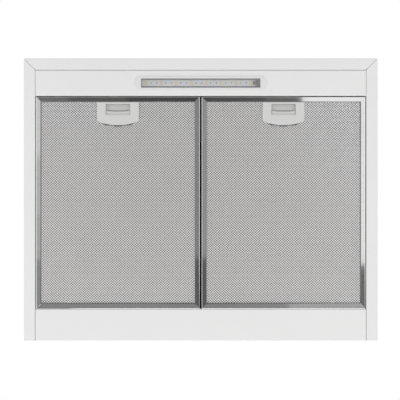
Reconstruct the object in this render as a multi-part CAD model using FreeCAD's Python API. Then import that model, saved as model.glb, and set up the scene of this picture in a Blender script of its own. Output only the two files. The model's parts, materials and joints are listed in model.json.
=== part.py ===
"""Under-cabinet range hood, 60 cm class, as an assembly of separate pieces.

Frame: +X to the right seen from the front, +Y towards the wall, +Z up. The origin is the
centre of the four cabinet screw holes, on the upper face of the flat top that lies against
the cabinet. All sizes are in millimetres.
"""

import FreeCAD
import Part
import math
import os

V = FreeCAD.Vector
X_AXIS, Y_AXIS, Z_AXIS = V(1, 0, 0), V(0, 1, 0), V(0, 0, 1)

# ---- driving sizes of the canopy -------------------------------------------------------
WIDTH = 598.0
DEPTH = 477.0
HEIGHT = 130.0
TOP_DEPTH = 300.0  # flat part of the top, under the cabinet
APRON = 54.0  # height of the front face
SHEET = 0.8
BEND = 1.2  # inner radius of every fold
FLANGE = 19.5  # rim folded in round the underside
LIP = 10.0  # return lip folded up from the rim
SEAM = 0.5  # gap between neighbouring sheet pieces on the underside
LAP = 0.1  # gap between lapped sheets
MITRE = 0.3  # how far each sheet stops short of a front corner's mitre line, along X

REAR = TOP_DEPTH / 2
FRONT = REAR - DEPTH
FLAT_FRONT = REAR - TOP_DEPTH
BOTTOM = -HEIGHT
HALF = WIDTH / 2
INSIDE = HALF - FLANGE  # half width between the side rims
APRON_TOP = BOTTOM + APRON

# ---- underside layout, from front to rear ----------------------------------------------
STRIP = 43.5  # white strip that carries the lamp
FRONT_GAP = 1.6
SIDE_GAP = 1.6
MIDDLE_GAP = 3.4
REAR_GAP = 0.4
FILTER_LENGTH = 358.0
STRIP_FRONT = FRONT + FLANGE + SEAM
STRIP_REAR = STRIP_FRONT + STRIP
FILTER_FRONT = STRIP_REAR + FRONT_GAP
FILTER_REAR = FILTER_FRONT + FILTER_LENGTH
REAR_STRIP = FILTER_REAR + REAR_GAP
FILTER_WIDTH = (2 * INSIDE - 2 * SIDE_GAP - MIDDLE_GAP) / 2
FILTER_X = MIDDLE_GAP / 2 + FILTER_WIDTH / 2
SIDES = {"left": -1, "right": 1}

# ---- grease filter ---------------------------------------------------------------------
FILTER_HEIGHT = 9.6
FOIL = 0.5  # sheet of the filter frame
FOIL_BEND = 0.3
RAIL_SIDE = 8.2
RAIL_FRONT = 8.6
RAIL_REAR = 9.6
RAIL_BACK = 7.0  # rail width on the upper face
CURL = 1.2  # height of the rolled inner edge
FACE_Z = (1.4, 1.9)  # heights of the mesh layers above the filter's underside
CORE_Z = (2.5, 7.8)
CORE_LAYERS = 3
CORE_FOIL = 0.25
BACK_Z = (8.2, 8.7)
TAB_X = 90.0
TAB_WIDTH = 16.0
TAB_OUT = 5.4
TAB_Z = (4.0, 5.2)

# ---- latch of a filter, in the filter's own frame --------------------------------------
HANDLE_WIDTH = 71.0
HANDLE_SIDE = 40.8  # where the straight sides end
HANDLE_END = 47.8  # crown of the curved end
HANDLE_Z = (-0.6, 1.3)
WINDOW_X = 20.5
WINDOW_Y = (12.0, 30.6)
POCKET_Z = 4.4  # upper face of the finger pocket's roof
WALL = 1.2
TONGUE_Z = (6.4, 7.6)
TONGUE_X = 12.0
TONGUE_OUT = 1.3  # reach of the tongue past the rail
GRIP_Y = 23.2
GRIP_DIP = 1.7  # hollow of the curved grip edge
GRIP_BACK = 26.6
SPRING_END = 45.1

# ---- lamp ------------------------------------------------------------------------------
LAMP_Y = (STRIP_FRONT + STRIP_REAR) / 2
BOARD_Y = LAMP_Y - 1.6  # the strip board sits a little ahead of the window's middle
BEZEL = (225.0, 24.0)
BEZEL_OUT = 1.0
WINDOW = (201.5, 16.0)
COLLAR_WALL = 1.2
LED_COUNT = 8
LED_PITCH = 25.4
LED_SHIFT = -3.4
LED_SIZE = (5.0, 5.0, 1.6)
BOARD = (193.0, 10.4, 1.6)
HOUSING_TOP = BOTTOM + 16.0
BOARD_TOP = HOUSING_TOP - 1.2
CHIP_AHEAD = (7.6, 17.4)

# ---- blower ----------------------------------------------------------------------------
SHELL = 2.0  # wall of the moulded scroll
HUB = (-83.0, -75.0)  # blower axis
STEP = 14.0  # growth of the spiral per quarter turn
SPIRAL = 110.0  # first radius of the spiral
SCROLL_BOTTOM = -94.0
SCROLL_SPLIT = -62.0
SCROLL_TOP = -30.0
BOX_TOP = -2.0
BOX_HALF = 62.0
BOX_REAR = 138.0
BOX_FRONT = 14.0
RIM_OUT = 5.0
INLET = 74.0
WHEEL = 95.0
WHEEL_TOP = -38.0
WHEEL_BOTTOM = -86.0
BLADES = 36
BLADE_IN = 78.0
CUP = 46.0
MOTOR = 41.0
MOUNT = 31.0
SHAFT = 4.0

# ---- outlet collar ---------------------------------------------------------------------
DUCT_Y = 76.0
DUCT = 60.0
DUCT_WALL = 2.4
DUCT_HEIGHT = 45.0
NECK = 58.0
COLLAR_FLANGE = 2.2
PIN_Z = 3.0
PIN = 1.5
FLAP = 57.0

# ---- cabinet mounting ------------------------------------------------------------------
HOLE_X = 240.0
HOLE_Y = 100.0
HOLE = 3.2

# ---- controls --------------------------------------------------------------------------
PANEL_X = 190.0
PANEL_Z = BOTTOM + 27.0
PANEL = (134.0, 21.0)
PANEL_OUT = 1.0
BUTTON = (20.0, 11.0)
BUTTON_PITCH = 24.0
BUTTON_OUT = 2.7
BUTTON_NAMES = ("button_off", "button_speed_1", "button_speed_2", "button_speed_3", "button_light")
MARK_DEPTH = 0.35  # of the marks sunk into the buttons
BAR = (1.1, 5.0)  # one bar for each speed step
BAR_PITCH = 2.6

# ---- electrics -------------------------------------------------------------------------
TERMINAL = (120.0, 50.0, 90.0, 60.0, 36.0)  # corner x and y, then size
DRIVER = (130.0, -64.0)  # corner of the lamp driver
SWITCH = (126.0, 18.0)  # width and height of the switch bank
SWITCH_FACE = 8.0  # distances of its two faces behind the apron
SWITCH_REAR = 24.0
HEAD_HEIGHT = 1.8
GLAND = (165.0, 93.0)
GLAND_BORE = 4.2


# ---- helpers ---------------------------------------------------------------------------
def rounded(points, radii, place, closed=True):
    """A wire through points with each corner rounded to its radius; place turns (u, v) into 3-D."""
    count = len(points)
    flat = [V(u, v, 0) for u, v in points]
    starts, ends, middles = [], [], []
    for i, corner in enumerate(flat):
        radius = radii[i]
        if radius <= 0 or (not closed and i in (0, count - 1)):
            starts.append(corner)
            ends.append(corner)
            middles.append(None)
            continue
        back = (flat[i - 1] - corner).normalize()
        ahead = (flat[(i + 1) % count] - corner).normalize()
        half = back.getAngle(ahead) / 2
        cut = radius / math.tan(half)
        starts.append(corner + back * cut)
        ends.append(corner + ahead * cut)
        inward = (back + ahead).normalize()
        middles.append(corner + inward * (radius / math.sin(half) - radius))
    edges = []
    for i in range(count):
        if middles[i] is not None:
            arc = [place(p.x, p.y) for p in (starts[i], middles[i], ends[i])]
            edges.append(Part.Arc(*arc).toShape())
        if closed or i < count - 1:
            a, b = ends[i], starts[(i + 1) % count]
            if a.distanceToPoint(b) > 1e-7:
                edges.append(Part.LineSegment(place(a.x, a.y), place(b.x, b.y)).toShape())
    return Part.Wire(edges)


def along_x(start):
    return lambda u, v: V(start, u, v)


def along_y(start):
    return lambda u, v: V(u, start, v)


def along_z(start):
    return lambda u, v: V(u, v, start)


def prism(points, radii, axis, start, end):
    """A solid: the rounded outline carried along an axis from start to end."""
    place = {"x": along_x, "y": along_y, "z": along_z}[axis](start)
    way = {"x": X_AXIS, "y": Y_AXIS, "z": Z_AXIS}[axis]
    if not isinstance(radii, (list, tuple)):
        radii = [radii] * len(points)
    return Part.Face(rounded(points, radii, place)).extrude(way * (end - start))


def sheet_outline(path, thick, bend):
    """Outline of a folded sheet: path is its outer face, and the metal lies to the left."""
    count = len(path)
    flat = [V(u, v, 0) for u, v in path]
    ways = [(flat[i + 1] - flat[i]).normalize() for i in range(count - 1)]
    lefts = [V(-w.y, w.x, 0) for w in ways]
    inner, outer_radii, inner_radii = [], [], []
    for i, point in enumerate(flat):
        if i in (0, count - 1):
            inner.append(point + lefts[min(i, count - 2)] * thick)
            outer_radii.append(0)
            inner_radii.append(0)
            continue
        a, b = lefts[i - 1], lefts[i]
        inner.append(point + (a + b) * (thick / (1 + a.dot(b))))
        turns_left = ways[i - 1].cross(ways[i]).z > 0
        outer_radii.append(bend + thick if turns_left else bend)
        inner_radii.append(bend if turns_left else bend + thick)
    points = list(path) + [(p.x, p.y) for p in reversed(inner)]
    return points, outer_radii + inner_radii[::-1]


def folded(path, axis, start, end, thick=SHEET, bend=BEND):
    """A folded sheet: the section along path, carried along an axis."""
    points, radii = sheet_outline(path, thick, bend)
    return prism(points, radii, axis, start, end)


def block(x0, x1, y0, y1, z0, z1):
    return Part.makeBox(x1 - x0, y1 - y0, z1 - z0, V(x0, y0, z0))


def disc(radius, x, y, z0, z1):
    return Part.makeCylinder(radius, z1 - z0, V(x, y, z0))


def ring(outer, inner, x, y, z0, z1):
    return disc(outer, x, y, z0, z1).cut(disc(inner, x, y, z0, z1))


def rectangle(x0, x1, y0, y1):
    return [(x0, y0), (x1, y0), (x1, y1), (x0, y1)]


def stadium(length, width, x, y, z0, z1):
    """A slot shape with full round ends, lying along X."""
    outline = rectangle(x - length / 2, x + length / 2, y - width / 2, y + width / 2)
    return prism(outline, width / 2 - 0.001, "z", z0, z1)


def upright(x, z, wide, high, y0, y1, radius):
    """A plate standing in the XZ plane, with rounded corners."""
    return prism(rectangle(x - wide / 2, x + wide / 2, z - high / 2, z + high / 2), radius, "y", y0, y1)


def mirrored(shape):
    return shape.mirror(V(0, 0, 0), X_AXIS)


def one(shape):
    """The single solid of a boolean result, with needless seams merged."""
    shape = shape.removeSplitter()
    return shape.Solids[0] if len(shape.Solids) == 1 else shape


def edges_at(shape, wanted):
    """Edges whose centre passes the test wanted(x, y, z)."""
    return [e for e in shape.Edges if wanted(*e.CenterOfMass)]


def softened(shape, radius, wanted):
    """The shape with the chosen edges rounded."""
    return shape.makeFillet(radius, edges_at(shape, wanted))


def cable(points, radius):
    """A round cable along straight runs joined by arcs as large as the runs allow."""
    nodes = [V(*p) for p in points]
    edges, bends, place = [], [], nodes[0]
    for i in range(1, len(nodes) - 1):
        back, ahead = nodes[i - 1] - nodes[i], nodes[i + 1] - nodes[i]
        reach = 0.45 * min(back.Length, ahead.Length)
        half = back.getAngle(ahead) / 2
        bend = reach * math.tan(half)
        bends.append(bend)
        back.normalize()
        ahead.normalize()
        start, end = nodes[i] + back * reach, nodes[i] + ahead * reach
        middle = nodes[i] + (back + ahead).normalize() * (bend / math.sin(half) - bend)
        edges.append(Part.LineSegment(place, start).toShape())
        edges.append(Part.Arc(start, middle, end).toShape())
        place = end
    edges.append(Part.LineSegment(place, nodes[-1]).toShape())
    spine = Part.Wire(edges)
    way = nodes[1] - nodes[0]
    profile = Part.Wire([Part.makeCircle(radius, nodes[0], way)])
    tube = spine.makePipeShell([profile], True, False)
    share = tube.Volume / (math.pi * radius**2 * spine.Length)
    print(f"cable {spine.Length:.0f} mm long, least bend {min(bends):.0f} mm, volume share {share:.3f}")
    return tube


def screw(x, y, z, way, head=3.2, shank=1.9, length=7.0):
    """A pan-head screw whose head seats at the point; way points out of the head."""
    place, out = V(x, y, z), V(*way)
    cap = Part.makeCylinder(head, HEAD_HEIGHT, V(0, 0, 0), Z_AXIS)
    cap = softened(cap, HEAD_HEIGHT / 2, lambda px, py, pz: pz > HEAD_HEIGHT - 1e-6)
    arm, width = head * 0.55, head * 0.24
    recess = block(-arm, arm, -width / 2, width / 2, HEAD_HEIGHT * 0.4, HEAD_HEIGHT + 1)
    recess = recess.fuse(block(-width / 2, width / 2, -arm, arm, HEAD_HEIGHT * 0.4, HEAD_HEIGHT + 1))
    made = one(cap.cut(recess).fuse(disc(shank, 0, 0, -length, 0)))
    made.Placement = FreeCAD.Placement(place, FreeCAD.Rotation(Z_AXIS, out))
    return made


# ---- canopy ----------------------------------------------------------------------------
def mitre_region(sign, side_part):
    """The part of a front corner on one side of its mitre, a little past the mitre line."""
    shift = -MITRE if side_part else MITRE
    reach = 40.0
    line_x = HALF + shift
    start, end = (line_x + 1, FRONT - 1), (line_x - reach, FRONT + reach)
    far = (line_x + 1, FRONT + reach) if side_part else (line_x - reach, FRONT - 1)
    points = [(sign * x, y) for x, y in (start, far, end)]
    return prism(points, 0, "z", BOTTOM - 1, BOTTOM + LIP + 1)


CANOPY_PATH = [
    (REAR, 0),
    (FLAT_FRONT, 0),
    (FRONT, APRON_TOP),
    (FRONT, BOTTOM),
    (FRONT + FLANGE, BOTTOM),
    (FRONT + FLANGE, BOTTOM + LIP),
]


def top_front_panel():
    """Flat top, sloping top, front apron and front rim, folded from one sheet."""
    end = HALF - SHEET - LAP
    body = folded(CANOPY_PATH, "x", -end, end)
    rim_rear = FRONT + FLANGE
    lip_end = block(INSIDE, HALF, rim_rear - SHEET - 1, rim_rear + 1, BOTTOM - 1, BOTTOM + LIP + 1)
    body = body.cut(lip_end).cut(mirrored(lip_end))
    for sign in (-1, 1):
        body = body.cut(mitre_region(sign, True))
    body = body.cut(disc(NECK + 0.4, 0, DUCT_Y, -5, 5))
    body = body.cut(disc(7.0, *GLAND, -5, 5))
    for x in (-HOLE_X, HOLE_X):
        for y in (-HOLE_Y, HOLE_Y):
            body = body.cut(disc(HOLE, x, y, -5, 5))
    wide, high = PANEL[0] - 8, PANEL[1] - 6
    return one(body.cut(upright(PANEL_X, PANEL_Z, wide, high, FRONT - 5, FRONT + 5, 2.0)))


def side_panel():
    """Right side wall with its rim folded in below and a joining tab under the top sheet."""
    path = [(INSIDE, BOTTOM + LIP), (INSIDE, BOTTOM), (HALF, BOTTOM), (HALF, 0)]
    wall = folded(path, "y", FRONT, REAR)
    fold = BEND + SHEET
    outline = [(REAR, 0), (FLAT_FRONT, 0), (FRONT, APRON_TOP), (FRONT, BOTTOM), (REAR, BOTTOM)]
    wall = wall.common(prism(outline, [0, fold, fold, fold, 0], "x", 0, HALF + 1))
    wall = wall.cut(mitre_region(1, False))
    behind = REAR - SHEET - LAP
    inner = HALF - SHEET - LAP
    wall = wall.cut(block(INSIDE - 1, inner, behind, REAR + 1, BOTTOM - 1, BOTTOM + LIP + 1))
    under = SHEET + LAP
    points, _ = sheet_outline(CANOPY_PATH[:4], under, BEND)
    inner_face = [points[4 + i] for i in range(3, -1, -1)]
    inner_face[0] = (REAR - 20, -under)
    inner_face[3] = (FRONT + under, BOTTOM + LIP + 4)
    tab = folded(inner_face, "x", HALF - 13, HALF - SHEET, bend=BEND)
    return one(wall.fuse(tab))


def back_panel():
    """Rear wall, the rear strip of the underside, and the slotted lip that holds the filters."""
    lip = 12.0
    path = [
        (REAR_STRIP, BOTTOM + lip),
        (REAR_STRIP, BOTTOM),
        (REAR, BOTTOM),
        (REAR, -SHEET - LAP),
        (REAR - 14, -SHEET - LAP),
    ]
    end = HALF - SHEET - LAP
    body = folded(path, "x", -end, end)
    rim = block(INSIDE - SEAM, HALF, REAR_STRIP - 1, REAR - SHEET - LAP, BOTTOM - 1, BOTTOM + lip + 1)
    tab_room = block(HALF - 14, HALF, REAR - 40, REAR - SHEET - 0.01, BOTTOM + LIP, 1)
    for notch in (rim, tab_room):
        body = body.cut(notch).cut(mirrored(notch))
    for sign in SIDES.values():
        for tab in (-TAB_X, TAB_X):
            x, half = sign * FILTER_X + tab, TAB_WIDTH / 2 + 2
            slot = block(x - half, x + half, REAR_STRIP - 1, REAR_STRIP + 2, 2.4, 9.5)
            slot.translate(V(0, 0, BOTTOM))
            body = body.cut(slot)
    for x in (-HOLE_X, HOLE_X):
        keyhole = Part.makeCylinder(5.0, 10, V(x, REAR - 5, -48), Y_AXIS)
        keyhole = keyhole.fuse(block(x - 2.75, x + 2.75, REAR - 5, REAR + 5, -48, -34))
        keyhole = keyhole.fuse(Part.makeCylinder(2.75, 10, V(x, REAR - 5, -34), Y_AXIS))
        body = body.cut(keyhole)
    return one(body)


def front_inner_panel():
    """White strip that carries the lamp, between the front rim and the filters."""
    lip = 12.0
    end = INSIDE - SEAM
    path = [
        (STRIP_FRONT, BOTTOM + LIP),
        (STRIP_FRONT, BOTTOM),
        (STRIP_REAR, BOTTOM),
        (STRIP_REAR, BOTTOM + lip),
    ]
    body = folded(path, "x", -end, end)
    cheek = block(end - SHEET, end, STRIP_FRONT + SHEET, STRIP_REAR - SHEET, BOTTOM + 0.4, BOTTOM + LIP)
    body = body.fuse(cheek).fuse(mirrored(cheek))
    long, wide = WINDOW[0] + 18, WINDOW[1] + 2 * COLLAR_WALL + 0.4
    body = body.cut(stadium(long, wide, 0, LAMP_Y, BOTTOM - 1, BOTTOM + 3))
    for sign in SIDES.values():
        x, half = sign * FILTER_X, TONGUE_X + 2
        low, high = BOTTOM + TONGUE_Z[0] - 0.8, BOTTOM + TONGUE_Z[1] + 0.8
        body = body.cut(block(x - half, x + half, STRIP_REAR - 2, STRIP_REAR + 1, low, high))
    return one(body)


def mounting_rail():
    """Right stiffener under the flat top, which takes the cabinet screws."""
    top = -SHEET
    inner, outer = HOLE_X - 20, HOLE_X + 20
    path = [(inner, top), (outer, top), (outer, top - 16)]
    rail = folded(path[::-1], "y", -130, 130, thick=2.0, bend=1.0)
    for y in (-HOLE_Y, HOLE_Y):
        rail = rail.cut(disc(HOLE, HOLE_X, y, top - 5, top + 1))
    return one(rail)


# ---- lamp ------------------------------------------------------------------------------
def lamp_bezel():
    face = stadium(*BEZEL, 0, LAMP_Y, BOTTOM - BEZEL_OUT, BOTTOM)
    face = softened(face, 0.7, lambda x, y, z: abs(z - BOTTOM + BEZEL_OUT) < 1e-6)
    collar = stadium(WINDOW[0] + 17.4, WINDOW[1] + 2 * COLLAR_WALL, 0, LAMP_Y, BOTTOM, BOTTOM + 10)
    opening = rectangle(-WINDOW[0] / 2, WINDOW[0] / 2, LAMP_Y - WINDOW[1] / 2, LAMP_Y + WINDOW[1] / 2)
    body = face.fuse(collar).cut(prism(opening, 1.0, "z", BOTTOM - 5, BOTTOM + 15))
    return one(body)


def lamp_lens():
    gap = 0.15
    half_x, half_y = WINDOW[0] / 2 - gap, WINDOW[1] / 2 - gap
    outline = rectangle(-half_x, half_x, LAMP_Y - half_y, LAMP_Y + half_y)
    lens = prism(outline, 0.8, "z", BOTTOM - 0.3, BOTTOM + 1.2)
    return softened(lens, 0.3, lambda x, y, z: abs(z - BOTTOM + 0.3) < 1e-6)


def lamp_housing():
    low, top = BOTTOM + 10, HOUSING_TOP
    open_x, open_y = WINDOW[0] / 2, WINDOW[1] / 2
    half_x, half_y = open_x + 6, open_y + COLLAR_WALL
    body = block(-half_x, half_x, LAMP_Y - half_y, LAMP_Y + half_y, low, top)
    hollow = block(-open_x, open_x, LAMP_Y - open_y, LAMP_Y + open_y, low - 1, BOARD_TOP)
    ears = block(-half_x - 10, half_x + 10, LAMP_Y - 5, LAMP_Y + 5, low, low + 2)
    ears = ears.cut(block(-half_x, half_x, LAMP_Y - 6, LAMP_Y + 6, low - 1, top))
    return one(body.cut(hollow).fuse(ears))


def lamp_board():
    long, wide, thick = BOARD
    low_x, low_y = LED_SHIFT - long / 2, BOARD_Y - wide / 2
    return block(low_x, low_x + long, low_y, low_y + wide, BOARD_TOP - thick, BOARD_TOP)


def led_places():
    first = LED_SHIFT - LED_PITCH * (LED_COUNT - 1) / 2
    return [first + LED_PITCH * i for i in range(LED_COUNT)]


def lamp_leds():
    face = BOARD_TOP - BOARD[2]
    wide, deep, high = LED_SIZE
    made = []
    for x in led_places():
        cell = block(x - wide / 2, x + wide / 2, BOARD_Y - deep / 2, BOARD_Y + deep / 2, face - high, face)
        cup = Part.makeCone(1.9, 1.5, 0.6, V(x, BOARD_Y, face - high), Z_AXIS)
        made.append(cell.cut(cup))
    return Part.makeCompound(made)


def lamp_resistors():
    """Two small chips after each diode but the last, and the lead's connector at the right end."""
    face = BOARD_TOP - BOARD[2]
    made = []
    for place in led_places()[:-1]:
        for ahead in CHIP_AHEAD:
            x = place + ahead
            made.append(block(x - 1, x + 1, BOARD_Y - 0.65, BOARD_Y + 0.65, face - 0.6, face))
    end = LED_SHIFT + BOARD[0] / 2
    made.append(block(end - 3.6, end - 0.4, BOARD_Y - 2.6, BOARD_Y + 2.6, face - 3, face))
    return Part.makeCompound(made)


# ---- blower ----------------------------------------------------------------------------
def scroll_outline(inset, z):
    """Closed spiral outline with its outlet box; inset moves the whole outline inwards."""
    first = V(HUB[0] - STEP / 2, HUB[1] - STEP / 2, z)
    second = first + V(STEP, 0, 0)
    third = second + V(0, STEP, 0)
    radii = [SPIRAL - inset, SPIRAL + STEP - inset, SPIRAL + 2 * STEP - inset]
    right, left, rear = BOX_HALF - inset, -BOX_HALF + inset, BOX_REAR - inset
    across = left - first.x
    tongue = V(left, first.y + math.sqrt(radii[0] ** 2 - across**2), z)
    start = math.acos(across / radii[0])

    def arc(centre, radius, a, b):
        at = [centre + V(math.cos(t), math.sin(t), 0) * radius for t in (a, (a + b) / 2, b)]
        return Part.Arc(*at).toShape()

    quarter = math.pi / 2
    edges = [
        arc(first, radii[0], start, 2 * quarter),
        arc(second, radii[1], 2 * quarter, 3 * quarter),
        arc(third, radii[2], 3 * quarter, 4 * quarter),
        Part.LineSegment(V(right, third.y, z), V(right, rear, z)).toShape(),
        Part.LineSegment(V(right, rear, z), V(left, rear, z)).toShape(),
        Part.LineSegment(V(left, rear, z), tongue).toShape(),
    ]
    return Part.Wire(edges)


def scroll_solid(inset, z0, z1):
    solid = Part.Face(scroll_outline(inset, z0)).extrude(V(0, 0, z1 - z0))
    corners = [e for e in solid.Edges if abs(e.tangentAt(e.FirstParameter).z) > 0.99]
    outlet = [e for e in corners if e.CenterOfMass.y > 0 and e.CenterOfMass.x > -70]
    return solid.makeFillet(4.0, outlet)


def joining_rim(z0, z1):
    return scroll_solid(-RIM_OUT, z0, z1).cut(scroll_solid(0, z0 - 1, z1 + 1))


def rim_places():
    """Screw places round the joining rim: on the three arcs, then on the outlet's sides."""
    reach = RIM_OUT / 2
    low_x, low_y = HUB[0] - STEP / 2, HUB[1] - STEP / 2
    arcs = (
        (low_x, low_y, SPIRAL, 130),
        (low_x + STEP, low_y, SPIRAL + STEP, 195),
        (low_x + STEP, low_y, SPIRAL + STEP, 240),
        (low_x + STEP, low_y + STEP, SPIRAL + 2 * STEP, 285),
        (low_x + STEP, low_y + STEP, SPIRAL + 2 * STEP, 330),
    )
    places = []
    for x, y, radius, degrees in arcs:
        angle = math.radians(degrees)
        places.append((x + (radius + reach) * math.cos(angle), y + (radius + reach) * math.sin(angle)))
    return places + [(BOX_HALF + reach, 10), (BOX_HALF + reach, 110), (-BOX_HALF - reach, 100)]


def blower_base():
    """Lower half of the scroll: floor with the inlet, walls and the joining rim."""
    outer = scroll_solid(0, SCROLL_BOTTOM, SCROLL_SPLIT)
    body = outer.cut(scroll_solid(SHELL, SCROLL_BOTTOM + SHELL, SCROLL_SPLIT + 1))
    body = body.fuse(joining_rim(SCROLL_SPLIT - SHELL, SCROLL_SPLIT))
    body = body.cut(disc(INLET, *HUB, SCROLL_BOTTOM - 1, SCROLL_BOTTOM + 5))
    body = body.fuse(ring(INLET + 1.8, INLET, *HUB, SCROLL_BOTTOM, WHEEL_BOTTOM))
    return one(body)


def outlet_box(inset, z0, z1):
    outline = rectangle(-BOX_HALF + inset, BOX_HALF - inset, BOX_FRONT + inset, BOX_REAR - inset)
    return prism(outline, 4.0, "z", z0, z1)


def blower_cover():
    """Upper half of the scroll: roof that carries the motor, and the raised outlet box."""
    outer = scroll_solid(0, SCROLL_SPLIT, SCROLL_TOP).fuse(outlet_box(0, SCROLL_TOP - 10, BOX_TOP))
    hollow = scroll_solid(SHELL, SCROLL_SPLIT - 1, SCROLL_TOP - SHELL)
    body = outer.cut(hollow.fuse(outlet_box(SHELL, SCROLL_TOP - 11, BOX_TOP - SHELL)))
    body = body.fuse(joining_rim(SCROLL_SPLIT, SCROLL_SPLIT + SHELL))
    body = body.cut(disc(NECK + 0.4, 0, DUCT_Y, BOX_TOP - 5, BOX_TOP + 1))
    for k in range(6):
        rib = block(MOTOR + 4, 92, -1, 1, SCROLL_TOP - 0.5, SCROLL_TOP + 3)
        rib.rotate(V(0, 0, 0), Z_AXIS, 60 * k + 30)
        rib.translate(V(*HUB, 0))
        body = body.fuse(rib)
    body = body.cut(disc(4.0, HUB[0] + 20, HUB[1], SCROLL_TOP - 5, SCROLL_TOP + 5))
    return one(body)


def inlet_guard():
    """Finger guard under the inlet: rings joined by ribs."""
    low, high = SCROLL_BOTTOM - 3, SCROLL_BOTTOM
    guard = ring(INLET + 9, INLET + 1, *HUB, low, high)
    for k in range(5):
        radius = 16.0 + 12 * k
        guard = guard.fuse(ring(radius + 0.8, radius - 0.8, *HUB, low, high))
    guard = guard.fuse(disc(6.0, *HUB, low, high))
    for k in range(6):
        rib = block(4, INLET + 3, -0.9, 0.9, low, high)
        rib.rotate(V(0, 0, 0), Z_AXIS, 60 * k)
        rib.translate(V(*HUB, 0))
        guard = guard.fuse(rib)
    return one(guard)


def motor():
    """Motor can hung from the roof of the scroll, with its blind shaft bore."""
    top = SCROLL_TOP - SHELL
    low = top - 34
    can = disc(MOTOR, *HUB, low, top - 4)
    can = softened(can, 3.0, lambda x, y, z: abs(z - low) < 1e-6)
    neck = disc(10.0, *HUB, low - 4, low)
    boss = disc(22.0, *HUB, top - 4, top)
    return one(can.fuse(neck).fuse(boss).cut(disc(SHAFT + 0.06, *HUB, low - 5, top - 10)))


def motor_mounts():
    """The three mounting places round the motor."""
    angles = [math.radians(120 * k + 60) for k in range(3)]
    return [(HUB[0] + MOUNT * math.cos(a), HUB[1] + MOUNT * math.sin(a)) for a in angles]


def motor_grommets():
    """Rubber mounts between the motor and the roof."""
    top = SCROLL_TOP - SHELL
    return Part.makeCompound([disc(6.0, x, y, top - 4, top) for x, y in motor_mounts()])


def motor_shaft():
    top = SCROLL_TOP - SHELL - 12
    rod = disc(SHAFT, *HUB, WHEEL_BOTTOM - 4, top)
    angles = [math.radians(60 * k) for k in range(6)]
    hexagon = [(5.5 * math.cos(a), 5.5 * math.sin(a)) for a in angles]
    nut = prism(hexagon, 0, "z", WHEEL_BOTTOM - 2, WHEEL_BOTTOM + 2)
    nut.translate(V(*HUB, 0))
    return one(rod.fuse(nut))


def impeller_hub():
    """Back plate and the cup that fits round the motor."""
    cup_floor = -76.0
    plate = ring(WHEEL, CUP, *HUB, WHEEL_TOP - 2, WHEEL_TOP)
    wall = ring(CUP + 2, CUP, *HUB, cup_floor, WHEEL_TOP)
    floor = disc(CUP + 2, *HUB, cup_floor - 2, cup_floor)
    boss = disc(9.0, *HUB, WHEEL_BOTTOM + 2, cup_floor)
    hub = plate.fuse([wall, floor, boss])
    return one(hub.cut(disc(SHAFT + 0.02, *HUB, WHEEL_BOTTOM - 1, WHEEL_TOP + 1)))


def impeller_blades():
    """Forward-curved blades, each an arc of thin plate."""
    thick, bow = 1.1, 16.0
    tip = WHEEL - 1.0
    made = []
    chord = V(tip, 5.0, 0) - V(BLADE_IN, -3.0, 0)
    middle = (V(tip, 5.0, 0) + V(BLADE_IN, -3.0, 0)) * 0.5
    normal = V(-chord.y, chord.x, 0).normalize()
    half = chord.Length / 2
    centre = middle + normal * math.sqrt(bow**2 - half**2)
    spread = math.asin(half / bow)
    base = math.atan2(-normal.y, -normal.x)

    def at(radius, turn):
        return centre + V(math.cos(base + turn), math.sin(base + turn), 0) * radius

    edges = [
        Part.Arc(at(bow, -spread), at(bow, 0), at(bow, spread)).toShape(),
        Part.LineSegment(at(bow, spread), at(bow - thick, spread)).toShape(),
        Part.Arc(at(bow - thick, spread), at(bow - thick, 0), at(bow - thick, -spread)).toShape(),
        Part.LineSegment(at(bow - thick, -spread), at(bow, -spread)).toShape(),
    ]
    blade = Part.Face(Part.Wire(edges)).extrude(V(0, 0, WHEEL_TOP - 2 - WHEEL_BOTTOM - 2))
    for k in range(BLADES):
        copy = blade.copy()
        copy.rotate(V(0, 0, 0), Z_AXIS, 360.0 / BLADES * k)
        copy.translate(V(*HUB, WHEEL_BOTTOM + 2))
        made.append(copy)
    return Part.makeCompound(made)


def impeller_ring():
    return ring(WHEEL + 0.6, WHEEL - 5.4, *HUB, WHEEL_BOTTOM, WHEEL_BOTTOM + 2)


# ---- outlet ----------------------------------------------------------------------------
def outlet_collar():
    """Round duct collar with its seating flange, neck and the sockets of the flap pin."""
    body = disc(DUCT, 0, DUCT_Y, 0, DUCT_HEIGHT)
    body = softened(body, 0.8, lambda x, y, z: z > DUCT_HEIGHT - 1e-6)
    body = body.fuse(disc(DUCT + 11, 0, DUCT_Y, 0, COLLAR_FLANGE)).fuse(disc(NECK, 0, DUCT_Y, -7, 0))
    body = body.cut(disc(DUCT - DUCT_WALL, 0, DUCT_Y, 0, DUCT_HEIGHT + 1))
    body = body.cut(disc(NECK - 2, 0, DUCT_Y, -8, 1))
    half = DUCT - DUCT_WALL / 2
    body = body.cut(Part.makeCylinder(PIN, 2 * half, V(-half, DUCT_Y, PIN_Z), X_AXIS))
    return one(body)


def flap_pin():
    half = DUCT - DUCT_WALL / 2
    return Part.makeCylinder(PIN, 2 * half, V(-half, DUCT_Y, PIN_Z), X_AXIS)


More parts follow.
